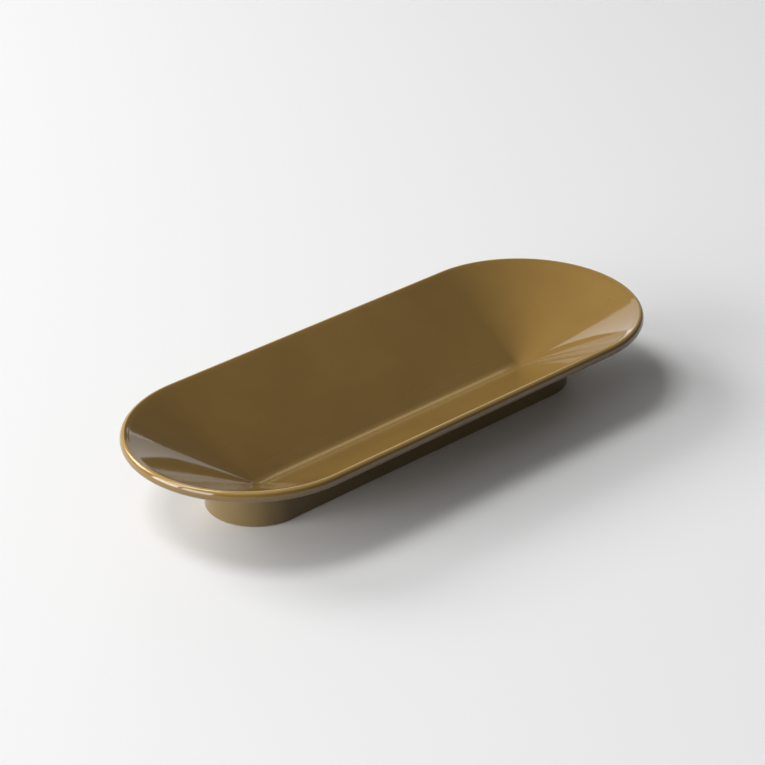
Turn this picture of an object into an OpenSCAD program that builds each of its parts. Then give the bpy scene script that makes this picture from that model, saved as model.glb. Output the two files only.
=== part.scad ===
// Olive dish: a long trough of glazed stoneware that stands on a narrow foot ring.
// Its outline is two straight sides with half-round ends. Inside, two flat slopes meet
// in a valley along the middle, and half a cone at each end closes the trough.
// The origin is on the table below the dish's centre. X runs along the dish and Z is up.

/* [Dish] */
// Length of the dish over its rim
dish_length = 250; // [220:1:320]
// Width of the dish over its rim
dish_width = 100; // [90:1:130]
// Height of the rim above the table
dish_height = 33; // [30:0.5:42]
// Height of the valley's floor above the table
floor_height = 7.5; // [6.5:0.5:10]
// Thickness of the shell, square to its slopes
shell_wall = 4.7; // [4.2:0.1:6]
// Radius of the valley where the two slopes meet
valley_radius = 6; // [4:0.5:8]

/* [Rim] */
// Radius where a slope turns over into the top of the rim
rim_inner_radius = 5.5; // [2:0.5:6]
// Radius between the top of the rim and its upright face
rim_upper_radius = 1.5; // [0.5:0.1:1.8]
// Radius between the rim's upright face and the underside
rim_lower_radius = 2.2; // [0.4:0.1:2.4]

/* [Foot] */
// Length of the foot ring
foot_length = 187; // [170:0.5:210]
// Width of the foot ring
foot_width = 40.5; // [34:0.5:52]
// Thickness of the foot ring's wall
foot_wall = 5; // [3.5:0.5:7]
// Radius of the foot ring's two bottom edges
foot_edge_radius = 0.8; // [0.4:0.1:1.5]

/* [Seam] */
// Thickness of the slip that joins the foot ring to the dish
seam_thickness = 0.6; // [0.4:0.1:1.5]
// How far the slip is squeezed out past each side of the foot ring's wall
seam_bead = 0.3; // [0.2:0.1:1.5]

/* [Hidden] */
$fn = 180;

// How far a cut or a blank runs past the face where it ends
overrun = 2;
// How far a straight stretch of a section sinks into the round that it runs into, so that they join as one
sink = 0.0005;

// Plan of the dish: its half-round ends turn about two upright lines at x = +-dish_run
dish_radius = dish_width / 2;
dish_run = dish_length / 2 - dish_radius;

// Plan of the foot ring, with its own two end centres
foot_radius = foot_width / 2;
foot_run = foot_length / 2 - foot_radius;

// Half section of the dish, as [distance from the middle, height].
// The slope is the line that touches the valley's round from below and the rim's inner round from above.
valley_centre = [0, floor_height + valley_radius];
rim_inner_centre = [dish_radius - rim_upper_radius, dish_height - rim_inner_radius];
rim_upper_centre = [dish_radius - rim_upper_radius, dish_height - rim_upper_radius];
rise = rim_inner_centre - valley_centre;
slope = atan2(rise[1], rise[0]) + asin((valley_radius + rim_inner_radius) / norm(rise));
down_slope = [sin(slope), -cos(slope)];
rim_top = [rim_inner_centre[0], dish_height];

// Height of the underside's sloping line at a distance from the middle
function underside_at(r) = valley_centre[1] - (valley_radius + shell_wall) / cos(slope) + r * tan(slope);

rim_lower_r = dish_radius - rim_lower_radius;
rim_lower_centre = [rim_lower_r, underside_at(rim_lower_r) + rim_lower_radius / cos(slope)];

// The slip's thickness measured upright, and the highest place where the foot ring meets the dish
seam_drop = seam_thickness / cos(slope);
foot_reach = max(foot_radius, foot_length / 2 - dish_run) + seam_bead;
seat_height = underside_at(foot_reach);

// Half section of the dish's outside, filled up to the rim
module outer_section() {
    polygon([
        valley_centre,
        valley_centre + (valley_radius + shell_wall - sink) * down_slope,
        rim_lower_centre + (rim_lower_radius - sink) * down_slope,
        rim_lower_centre + [rim_lower_radius, 0],
        rim_upper_centre + [rim_upper_radius, 0],
        rim_top,
        [0, dish_height]
    ]);
    translate(rim_lower_centre) circle(rim_lower_radius);
    translate(rim_upper_centre) circle(rim_upper_radius);
    right_half() translate(valley_centre) circle(valley_radius + shell_wall);
}

// Half section of the trough's hollow, open at the top
module hollow_section() {
    difference() {
        polygon([
            valley_centre,
            valley_centre + (valley_radius - sink) * down_slope,
            rim_inner_centre - (rim_inner_radius - sink) * down_slope,
            rim_top,
            rim_top + [0, overrun],
            [0, dish_height + overrun]
        ]);
        translate(rim_inner_centre) circle(rim_inner_radius);
    }
    right_half() translate(valley_centre) circle(valley_radius);
}

// The part of a section to the right of the middle
module right_half() {
    intersection() {
        children();
        square([dish_radius, dish_height]);
    }
}

// Half section of the foot ring's blank, with its wall widened on both sides by spread
module foot_section(spread) {
    inner = foot_radius - foot_wall - spread;
    outer = foot_radius + spread;
    top = seat_height + overrun;
    edge = foot_edge_radius;
    polygon([
        [inner, edge], [inner + edge, 0], [outer - edge, 0],
        [outer, edge], [outer, top], [inner, top]
    ]);
    for (r = [inner + edge, outer - edge]) translate([r, edge]) circle(edge);
}

// Carries a half section round the plan: straight along both sides and turned about both ends
module around(run) {
    rotate([90, 0, 90])
        linear_extrude(2 * run, center = true) {
            children();
            mirror([1, 0]) children();
        }
    for (turn = [-90, 90])
        translate([run * sign(-turn), 0, 0])
            rotate([0, 0, turn])
                rotate_extrude(angle = 180) children();
}

// The filled outside of the dish, lowered by drop, which trims what joins its underside
module dish_outside(drop) {
    translate([0, 0, -drop]) around(dish_run) outer_section();
}

module dish_shell() {
    color("#7d6234")
        around(dish_run)
            difference() {
                outer_section();
                hollow_section();
            }
}

module slip_seam() {
    color("#6b5a3c")
        difference() {
            intersection() {
                around(foot_run) foot_section(seam_bead);
                dish_outside(seam_drop);
            }
            dish_outside(0);
        }
}

module foot_ring() {
    color("#4a3d22")
        difference() {
            around(foot_run) foot_section(0);
            dish_outside(seam_drop);
        }
}

dish_shell();
slip_seam();
foot_ring();
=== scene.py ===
import math

import bpy
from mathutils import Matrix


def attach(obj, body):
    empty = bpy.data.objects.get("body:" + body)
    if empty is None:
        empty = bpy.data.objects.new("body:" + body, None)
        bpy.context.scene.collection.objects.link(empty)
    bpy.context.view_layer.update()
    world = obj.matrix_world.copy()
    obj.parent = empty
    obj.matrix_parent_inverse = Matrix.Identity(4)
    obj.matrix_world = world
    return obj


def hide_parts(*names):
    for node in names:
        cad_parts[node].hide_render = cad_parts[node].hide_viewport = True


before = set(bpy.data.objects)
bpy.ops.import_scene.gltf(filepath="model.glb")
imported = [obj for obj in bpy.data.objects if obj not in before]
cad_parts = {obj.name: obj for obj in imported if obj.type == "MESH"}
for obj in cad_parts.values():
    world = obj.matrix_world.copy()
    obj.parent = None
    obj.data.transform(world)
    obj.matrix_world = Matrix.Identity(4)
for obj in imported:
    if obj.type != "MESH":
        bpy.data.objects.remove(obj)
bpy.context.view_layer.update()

mm = 0.001
mergeGap = mm / 500  # points closer than this become one
hair = mm / 100  # slack when places are compared
print("frame loaded:", ", ".join(sorted(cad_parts)))


# section drawing: a point is (distance from the middle, height), in metres

def arcPoints(centre, radius, fromAngle, toAngle, steps, stretch=1):
    # angles in degrees, 0 points outwards and 90 up; stretch makes an oval that is taller than wide
    turns = [math.radians(fromAngle + (toAngle - fromAngle) * i / steps) for i in range(steps + 1)]
    return [(centre[0] + radius * math.cos(t), centre[1] + radius * stretch * math.sin(t)) for t in turns]


def between(start, end, gap):
    # two points on a straight stretch, a small gap from its ends, that keep its shading flat
    length = math.dist(start, end)
    ux, uz = (end[0] - start[0]) / length, (end[1] - start[1]) / length
    return [(start[0] + ux * gap, start[1] + uz * gap), (end[0] - ux * gap, end[1] - uz * gap)]


def deselectAll():
    bpy.ops.object.select_all(action="DESELECT")


def drawSection(name, points, closed):
    # one vertex, pulled out point by point into the section's outline, at the middle of the dish
    deselectAll()
    bpy.ops.mesh.primitive_plane_add(size=mm, location=(0, 0, 0))
    piece = bpy.context.object
    piece.name = piece.data.name = name
    bpy.ops.object.mode_set(mode="EDIT")
    bpy.ops.mesh.select_all(action="SELECT")
    bpy.ops.mesh.merge(type="CENTER")
    bpy.ops.transform.translate(value=(0, points[0][0], points[0][1]))
    for (r0, z0), (r1, z1) in zip(points, points[1:]):
        bpy.ops.mesh.extrude_vertices_move(TRANSFORM_OT_translate={"value": (0, r1 - r0, z1 - z0)})
    if closed:
        bpy.ops.mesh.select_all(action="SELECT")
        bpy.ops.mesh.remove_doubles(threshold=mergeGap)
    return piece


def sweepQuarter(run, steps, lead, stretches=10):
    # straight from the middle to the end's centre line, then a quarter turn round it
    bpy.ops.mesh.select_all(action="SELECT")
    for i in range(stretches):
        bpy.ops.mesh.extrude_edges_move(TRANSFORM_OT_translate={"value": ((run - lead) / stretches, 0, 0)})
    bpy.ops.mesh.extrude_edges_move(TRANSFORM_OT_translate={"value": (lead, 0, 0)})
    bpy.ops.mesh.spin(steps=steps, angle=math.pi / 2, center=(run, 0, 0), axis=(0, 0, 1))


def mirrorAndClose(piece):
    bpy.ops.mesh.select_all(action="SELECT")
    bpy.ops.mesh.remove_doubles(threshold=mergeGap)
    bpy.ops.object.mode_set(mode="OBJECT")
    mirror = piece.modifiers.new("otherSides", "MIRROR")
    mirror.use_axis = (True, True, False)
    mirror.merge_threshold = mergeGap
    bpy.ops.object.modifier_apply(modifier=mirror.name)
    bpy.ops.object.mode_set(mode="EDIT")
    bpy.ops.mesh.select_all(action="SELECT")
    bpy.ops.mesh.remove_doubles(threshold=mergeGap)
    bpy.ops.mesh.dissolve_degenerate(threshold=mergeGap / 2)
    bpy.ops.mesh.normals_make_consistent(inside=False)
    bpy.ops.object.mode_set(mode="OBJECT")
    bpy.ops.object.shade_smooth()


# the dish: one section, swept along the sides and round the ends

dish = {
    "length": 249.99 * mm, "width": 99.99 * mm, "height": 33 * mm,
    "floor": 7.5 * mm, "valleyRadius": 6 * mm,
    "rimSoft": 14 * mm, "softTurn": 8, "rimInner": 1.5 * mm,  # a slope turns over softly, then tightly
    "rimUpper": 1.6 * mm, "rimStretch": 1.5,  # outside, the rim falls off as a quarter of an oval
    "rimLower": 2.2 * mm, "rimLowerHeight": 30.56 * mm,
    "lean": 3.2 * mm,  # how far the valley's ends sit in from the centres of the rim's ends
    "arcSteps": 12, "turnSteps": 72, "loopGap": 0.4 * mm,
}
dishRadius = dish["width"] / 2
dishRun = dish["length"] / 2 - dishRadius
valleyCentre = (0, dish["floor"] + dish["valleyRadius"])
rimInnerCentre = (dishRadius - dish["rimUpper"], dish["height"] - dish["rimInner"])
rimUpperCentre = (dishRadius - dish["rimUpper"], dish["height"] - dish["rimUpper"] * dish["rimStretch"])
# the slope touches the valley's round and the soft round, whose centre depends on the slope,
# so a first guess is corrected until it settles
slope = math.radians(29)
slopeRounds = 12
for again in range(slopeRounds):
    turn, reach = slope - math.radians(dish["softTurn"]), dish["rimSoft"] - dish["rimInner"]
    rimSoftCentre = (rimInnerCentre[0] + reach * math.sin(turn), rimInnerCentre[1] - reach * math.cos(turn))
    riseR, riseZ = rimSoftCentre[0], rimSoftCentre[1] - valleyCentre[1]
    bothRounds = dish["valleyRadius"] + dish["rimSoft"]
    slope = math.atan2(riseZ, riseR) + math.asin(bothRounds / math.hypot(riseR, riseZ))
slopeDegrees = math.degrees(slope)
# the underside runs along the slope and touches the rim's lower round
rimLowerCentre = (dishRadius - dish["rimLower"], dish["rimLowerHeight"])
wall = ((valleyCentre[1] + rimLowerCentre[0] * math.tan(slope) - rimLowerCentre[1]) * math.cos(slope)
        + dish["rimLower"] - dish["valleyRadius"])
print("slope of the trough:", round(slopeDegrees, 2), "degrees, wall:", round(wall / mm, 2), "mm")


def undersideAt(x, y):
    # height of the sloping underside over a place on the table
    r = math.hypot(max(abs(x) - dishRun, 0), y)
    return valleyCentre[1] - (dish["valleyRadius"] + wall) / math.cos(slope) + r * math.tan(slope)


def insideAt(r):
    # lowest height of the trough's surface at a distance from the middle
    return valleyCentre[1] - dish["valleyRadius"] / math.cos(slope) + r * math.tan(slope)


def dishSection():
    steps, gap = dish["arcSteps"], dish["loopGap"]
    valley = arcPoints(valleyCentre, dish["valleyRadius"], -90, slopeDegrees - 90, steps)
    softEnd = slopeDegrees + 90 - dish["softTurn"]
    ontoRim = arcPoints(rimSoftCentre, dish["rimSoft"], slopeDegrees + 90, softEnd, steps)
    overRim = arcPoints(rimInnerCentre, dish["rimInner"], softEnd, 90, steps)
    downRim = arcPoints(rimUpperCentre, dish["rimUpper"], 90, 0, steps, dish["rimStretch"])
    underRim = arcPoints(rimLowerCentre, dish["rimLower"], 0, slopeDegrees - 90, steps)
    belly = arcPoints(valleyCentre, dish["valleyRadius"] + wall, slopeDegrees - 90, -90, steps)
    return (valley + between(valley[-1], ontoRim[0], gap) + ontoRim + overRim + downRim
            + underRim + between(underRim[-1], belly[0], gap) + belly)


def makeDish():
    piece = drawSection("dish", dishSection(), closed=False)
    sweepQuarter(dishRun, dish["turnSteps"], dish["loopGap"])
    mirrorAndClose(piece)
    for v in piece.data.vertices:  # the cones at the ends lean in towards the valley
        r = math.hypot(max(abs(v.co.x) - dishRun, 0), v.co.y)
        if r < rimInnerCentre[0] and v.co.z > insideAt(r) - hair:
            v.co.x -= dish["lean"] * (1 - r / rimInnerCentre[0]) * max(-1, min(1, v.co.x / dishRun))
    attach(piece, "root")
    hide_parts("dish_shell")
    return piece


# the foot: an upright ring whose top follows the slope of the dish

foot = {
    "length": 187 * mm, "width": 40.5 * mm, "wall": 5 * mm, "edge": 0.8 * mm,
    "arcSteps": 8, "turnSteps": 40, "loopGap": 0.4 * mm,
}
seam = {"thickness": 0.6 * mm, "bead": 0.3 * mm, "softShare": 0.7, "arcSteps": 6}
footRadius = foot["width"] / 2
footRun = foot["length"] / 2 - footRadius
seamDrop = seam["thickness"] / math.cos(slope)


def makeFoot():
    inner, outer, edge = footRadius - foot["wall"], footRadius, foot["edge"]
    top, gap = dish["floor"], foot["loopGap"]
    outerEdge = arcPoints((outer - edge, edge), edge, 0, -90, foot["arcSteps"])
    innerEdge = arcPoints((inner + edge, edge), edge, -90, -180, foot["arcSteps"])
    outside = between((outer, top), outerEdge[0], gap)
    inside = between(innerEdge[-1], (inner, top), gap)
    points = ([(outer, top)] + outside + outerEdge + between(outerEdge[-1], innerEdge[0], gap)
              + innerEdge + inside + [(inner, top), (outer, top)])
    piece = drawSection("foot", points, closed=True)
    sweepQuarter(footRun, foot["turnSteps"], gap)
    mirrorAndClose(piece)
    for v in piece.data.vertices:
        if v.co.z > top - gap - hair:  # the top edge and the loops beside it rise to the slip
            v.co.z += undersideAt(v.co.x, v.co.y) - seamDrop - top
        v.co.z = max(v.co.z, 0)
    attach(piece, "root")
    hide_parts("foot_ring")
    return piece


# the seam: a bead of slip that joins foot and dish

def makeSeam():
    inner, outer = footRadius - foot["wall"] - seam["bead"], footRadius + seam["bead"]
    soft = seamDrop * seam["softShare"]
    outerRound = arcPoints((outer - soft, soft - seamDrop), soft, 0, -90, seam["arcSteps"])
    innerRound = arcPoints((inner + soft, soft - seamDrop), soft, -90, -180, seam["arcSteps"])
    points = [(outer, 0)] + outerRound + innerRound + [(inner, 0), (outer, 0)]
    piece = drawSection("seam", points, closed=True)
    sweepQuarter(footRun, foot["turnSteps"], foot["loopGap"])
    mirrorAndClose(piece)
    for v in piece.data.vertices:
        v.co.z += undersideAt(v.co.x, v.co.y)
    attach(piece, "root")
    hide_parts("slip_seam")
    return piece


# small helpers for node trees

def addNode(tree, kind, settings={}, sockets={}):
    node = tree.nodes.new("ShaderNode" + kind)
    for name, value in settings.items():
        setattr(node, name, value)
    for name, value in sockets.items():
        node.inputs[name].default_value = value
    return node


def noise(tree, place, scale, detail):
    node = addNode(tree, "TexNoise", sockets={"Scale": scale, "Detail": detail})
    tree.links.new(place, node.inputs["Vector"])
    return node.outputs[0]


def remap(tree, value, fromLow, fromHigh, toLow, toHigh):
    node = addNode(tree, "MapRange", {"interpolation_type": "SMOOTHSTEP"},
                   {"From Min": fromLow, "From Max": fromHigh, "To Min": toLow, "To Max": toHigh})
    tree.links.new(value, node.inputs["Value"])
    return node.outputs[0]


def combine(tree, how, first, second=0):
    node = addNode(tree, "Math", {"operation": how})
    for socket, value in zip(node.inputs, (first, second)):
        if isinstance(value, (int, float)):
            socket.default_value = value
        else:
            tree.links.new(value, socket)
    return node.outputs[0]


def mixColour(tree, factor, first, second):
    # a Mix node has sockets for every kind of value: 0 is the factor, 6 and 7 in and 2 out are colours
    node = addNode(tree, "Mix", {"data_type": "RGBA"})
    for socket, value in zip((node.inputs[0], node.inputs[6], node.inputs[7]), (factor, first, second)):
        if isinstance(value, tuple):
            socket.default_value = value
        else:
            tree.links.new(value, socket)
    return node.outputs[2]


# glaze: one group gives every glazed piece its cloudy colour, gloss, specks and soft waves

glaze = {
    "ior": 1.6,
    "cloudScale": 26, "grainScale": 420, "waveScale": 34, "glossScale": 60,
    "spread": (0.3, 0.7),  # noise between these two goes from nothing to full
    "grainShare": 0.15, "grainHeight": 0.05,
    "speckScale": 150, "speckSize": (0.03, 0.08), "speckFrom": 0.95,  # a cell above this has a speck
}
glazeInputs = {"Deep": "Color", "Light": "Color", "Speck": "Color", "Smooth": "Float", "Rough": "Float"}
glazeOutputs = {"Color": "Color", "Roughness": "Float", "Height": "Float"}


def makeGlazeGroup():
    tree = bpy.data.node_groups.new("glazeCloud", "ShaderNodeTree")
    for way, sockets in (("INPUT", glazeInputs), ("OUTPUT", glazeOutputs)):
        for name, kind in sockets.items():
            tree.interface.new_socket(name, in_out=way, socket_type="NodeSocket" + kind)
    given, result = tree.nodes.new("NodeGroupInput"), tree.nodes.new("NodeGroupOutput")
    place = addNode(tree, "TexCoord").outputs["Object"]
    clouds = noise(tree, place, glaze["cloudScale"], detail=3)
    grain = noise(tree, place, glaze["grainScale"], detail=2)
    waves = noise(tree, place, glaze["waveScale"], detail=1)
    # few and small specks: only some cells have one, near the cell's middle
    cells = addNode(tree, "TexVoronoi", sockets={"Scale": glaze["speckScale"]})
    tree.links.new(place, cells.inputs["Vector"])
    chosen = addNode(tree, "SeparateColor")
    tree.links.new(cells.outputs["Color"], chosen.inputs[0])
    dots = combine(tree, "MULTIPLY", remap(tree, cells.outputs["Distance"], *glaze["speckSize"], 1, 0),
                   combine(tree, "GREATER_THAN", chosen.outputs[0], glaze["speckFrom"]))
    low, high = glaze["spread"]
    cloudy = combine(tree, "ADD", remap(tree, clouds, low, high, 0, 1 - glaze["grainShare"]),
                     combine(tree, "MULTIPLY", grain, glaze["grainShare"]))
    body = mixColour(tree, cloudy, given.outputs["Deep"], given.outputs["Light"])
    tree.links.new(mixColour(tree, dots, body, given.outputs["Speck"]), result.inputs["Color"])
    gloss = addNode(tree, "MapRange", sockets={"From Min": low, "From Max": high})
    tree.links.new(noise(tree, place, glaze["glossScale"], detail=2), gloss.inputs["Value"])
    tree.links.new(given.outputs["Smooth"], gloss.inputs["To Min"])
    tree.links.new(given.outputs["Rough"], gloss.inputs["To Max"])
    tree.links.new(gloss.outputs[0], result.inputs["Roughness"])
    uneven = combine(tree, "ADD", waves, combine(tree, "MULTIPLY", grain, glaze["grainHeight"]))
    tree.links.new(uneven, result.inputs["Height"])
    return tree


def glazedMaterial(name, look):
    material = bpy.data.materials.new(name)
    material.use_nodes = True
    tree = material.node_tree
    shader = tree.nodes["Principled BSDF"]
    shader.inputs["IOR"].default_value = glaze["ior"]
    cloud = addNode(tree, "Group", {"node_tree": glazeGroup})
    for socketName in glazeInputs:
        cloud.inputs[socketName].default_value = look[socketName]
    spot = addNode(tree, "SeparateXYZ")
    tree.links.new(addNode(tree, "TexCoord").outputs["Object"], spot.inputs[0])
    # the rim's lighter band is part thin glaze, part painted highlight; the standing edge is wiped bare
    band = remap(tree, spot.outputs["Z"], *look["bandHeights"], 0, 1)
    colour, rough = cloud.outputs["Color"], cloud.outputs["Roughness"]
    if "bandReach" in look:
        along = combine(tree, "ABSOLUTE", spot.outputs["X"])
        past = combine(tree, "MAXIMUM", combine(tree, "SUBTRACT", along, dishRun), 0)
        pastSquare = combine(tree, "MULTIPLY", past, past)
        acrossSquare = combine(tree, "MULTIPLY", spot.outputs["Y"], spot.outputs["Y"])
        fromMiddle = combine(tree, "SQRT", combine(tree, "ADD", pastSquare, acrossSquare))
        band = combine(tree, "MULTIPLY", band, remap(tree, fromMiddle, *look["bandReach"], 0, 1))
        # a lighter line painted along the valley is a painted highlight, with duller glaze on both sides,
        # and it fades towards its ends; the underside, a wall's thickness lower, has none
        inValley = combine(tree, "MULTIPLY", remap(tree, along, *look["valleyHighlightEnds"], 1, 0),
                           combine(tree, "GREATER_THAN", spot.outputs["Z"], dish["floor"] - mm))
        valleyHighlight = combine(tree, "MULTIPLY", inValley, remap(tree, fromMiddle, *look["valleyHighlightReach"], 1, 0))
        colour = mixColour(tree, valleyHighlight, colour, look["valleyHighlightColour"])
        dull = remap(tree, fromMiddle, *look["dullReach"], look["dullRough"], 0)
        rough = combine(tree, "ADD", rough, combine(tree, "MULTIPLY", inValley, dull))
    colour = mixColour(tree, band, colour, look["bandColour"])
    tree.links.new(colour, shader.inputs["Base Color"])
    rough = combine(tree, "ADD", rough, combine(tree, "MULTIPLY", band, look["bandRough"]))
    tree.links.new(rough, shader.inputs["Roughness"])
    bump = addNode(tree, "Bump", sockets={"Strength": 1, "Distance": look["waveHeight"]})
    tree.links.new(cloud.outputs["Height"], bump.inputs["Height"])
    tree.links.new(bump.outputs[0], shader.inputs["Normal"])
    return material


glazeGroup = makeGlazeGroup()
speckBrown = (0.11, 0.068, 0.024, 1)
glazeLook = {
    "Deep": (0.215, 0.128, 0.033, 1), "Light": (0.249, 0.147, 0.038, 1), "Speck": speckBrown,
    "Smooth": 0.05, "Rough": 0.09, "waveHeight": 0.2 * mm,
    # the rim band's lighter colour is partly thin glaze and partly a painted highlight
    "bandHeights": (32.1 * mm, 32.8 * mm), "bandReach": (47.6 * mm, 48.6 * mm),
    "bandColour": (0.39, 0.242, 0.071, 1), "bandRough": 0.02,
    # the valley line's colour is a painted highlight laid along the crease
    "valleyHighlightReach": (0.2 * mm, 1.4 * mm), "valleyHighlightEnds": (dishRun - 14 * mm, dishRun - 4 * mm),
    "valleyHighlightColour": (0.352, 0.248, 0.097, 1), "dullReach": (5.5 * mm, 10 * mm), "dullRough": 0.3,
}
footLook = {
    "Deep": (0.19, 0.128, 0.047, 1), "Light": (0.224, 0.151, 0.056, 1), "Speck": speckBrown,
    "Smooth": 0.08, "Rough": 0.14, "waveHeight": 0.12 * mm,
    "bandHeights": (0.75 * mm, 0.3 * mm), "bandColour": (0.42, 0.33, 0.23, 1), "bandRough": 0.6,
}
seamLook = {
    "Deep": (0.15, 0.092, 0.03, 1), "Light": (0.195, 0.118, 0.038, 1), "Speck": speckBrown,
    "Smooth": 0.1, "Rough": 0.18, "waveHeight": 0.2 * mm,
    "bandHeights": (8.5 * mm, 13 * mm), "bandColour": (0.17, 0.104, 0.034, 1), "bandRough": 0.05,
}

for makePiece, materialName, look in (
        (makeDish, "glaze", glazeLook), (makeFoot, "footGlaze", footLook), (makeSeam, "slip", seamLook)):
    piece = makePiece()
    piece.data.materials.clear()
    piece.data.materials.append(glazedMaterial(materialName, look))
    print(piece.name, "has", len(piece.data.polygons), "faces in", materialName)

# floor: it looks pale, but throws less light back up at the dish

floorLook = {"size": 8, "colour": (0.86, 0.86, 0.86, 1), "bounce": (0.22, 0.22, 0.22, 1), "rough": 0.7}
deselectAll()
bpy.ops.mesh.primitive_plane_add(size=floorLook["size"], location=(0, 0, 0))
floor = bpy.context.object
floor.name = "floor"
floorMaterial = bpy.data.materials.new("paleFloor")
floorMaterial.use_nodes = True
floorTree = floorMaterial.node_tree
floorShader = floorTree.nodes["Principled BSDF"]
rays = addNode(floorTree, "LightPath").outputs
mirrored = combine(floorTree, "MAXIMUM", rays["Is Glossy Ray"], rays["Is Transmission Ray"])
seen = combine(floorTree, "MAXIMUM", rays["Is Camera Ray"], mirrored)
floorColour = mixColour(floorTree, seen, floorLook["bounce"], floorLook["colour"])
floorTree.links.new(floorColour, floorShader.inputs["Base Color"])
floorShader.inputs["Roughness"].default_value = floorLook["rough"]
floor.data.materials.append(floorMaterial)
print("floor laid")

# the panes of two windows at the left, soft light from the side and above,
# and dim panels far behind, which the end cones mirror as fans of light
lamps = {
    "leftLow": {"place": (-2.49, -0.15, 0.65), "size": (1.11, 1.3), "power": 31, "aim": (0, 0, 0.65)},
    "rightLow": {"place": (-2.26, 1.08, 0.65), "size": (1.11, 1.3), "power": 39.5, "aim": (0, 0, 0.65)},
    "rightHigh": {"place": (-2.26, 1.08, 2.1), "size": (1.11, 1.6), "power": 19, "aim": (0, 0, 2.1)},
    "sideSoft": {"place": (-0.66, 2.04, 1.29), "size": (1.2, 1), "power": 31},
    "top": {"place": (-0.72, 0.72, 2.28), "size": (0.9, 0.9), "power": 22},
    "backNear": {"place": (1.81, 3.05, 1.01), "size": (1.08, 2.02), "power": 7.2, "aim": (0.1, 0, 1.01)},
    "backMid": {"place": (2.3, 2.64, 0.57), "size": (0.37, 1.14), "power": 1.7, "aim": (0, 0, 0.57)},
    "backFar": {"place": (3.16, 2.32, 0.64), "size": (1.34, 1.28), "power": 3.8, "aim": (-0.1, 0, 0.64)},
    "backEdge": {"place": (3.42, 1.89, 1.54), "size": (0.24, 0.52), "power": 0.5, "aim": (-0.1, 0, 1.54)},
}
worldLight = 0.118


def addLamp(name, place, size, power, aim=(0, 0, 0)):
    deselectAll()
    dx, dy, dz = (p - a for p, a in zip(place, aim))
    turn = (math.atan2(math.hypot(dx, dy), dz), 0, math.atan2(dx, -dy))
    bpy.ops.object.light_add(type="AREA", location=place, rotation=turn)
    lamp = bpy.context.object
    lamp.name = name
    lamp.data.shape = "RECTANGLE"
    lamp.data.size, lamp.data.size_y = size
    lamp.data.energy = power


for lampName, lamp in lamps.items():
    addLamp(lampName, **lamp)
world = bpy.data.worlds.new("studio")
bpy.context.scene.world = world
world.use_nodes = True
world.node_tree.nodes["Background"].inputs["Color"].default_value = (1, 1, 1, 1)
world.node_tree.nodes["Background"].inputs["Strength"].default_value = worldLight
print("lamps:", ", ".join(lamps))

# camera: heading and fall in radians, lens and sensor in millimetres
camera = {
    "place": (-620.3 * mm, -648.9 * mm, 500.7 * mm), "heading": 0.758, "fall": 0.4872,
    "lens": 119.4, "sensor": 36,
}
cameraTurn = (math.pi / 2 - camera["fall"], 0, -camera["heading"])
bpy.ops.object.camera_add(location=camera["place"], rotation=cameraTurn)
eye = bpy.context.object
eye.data.lens = camera["lens"]
eye.data.sensor_width = camera["sensor"]
bpy.context.scene.camera = eye
bpy.context.scene.view_settings.view_transform = "Standard"
print("camera set")
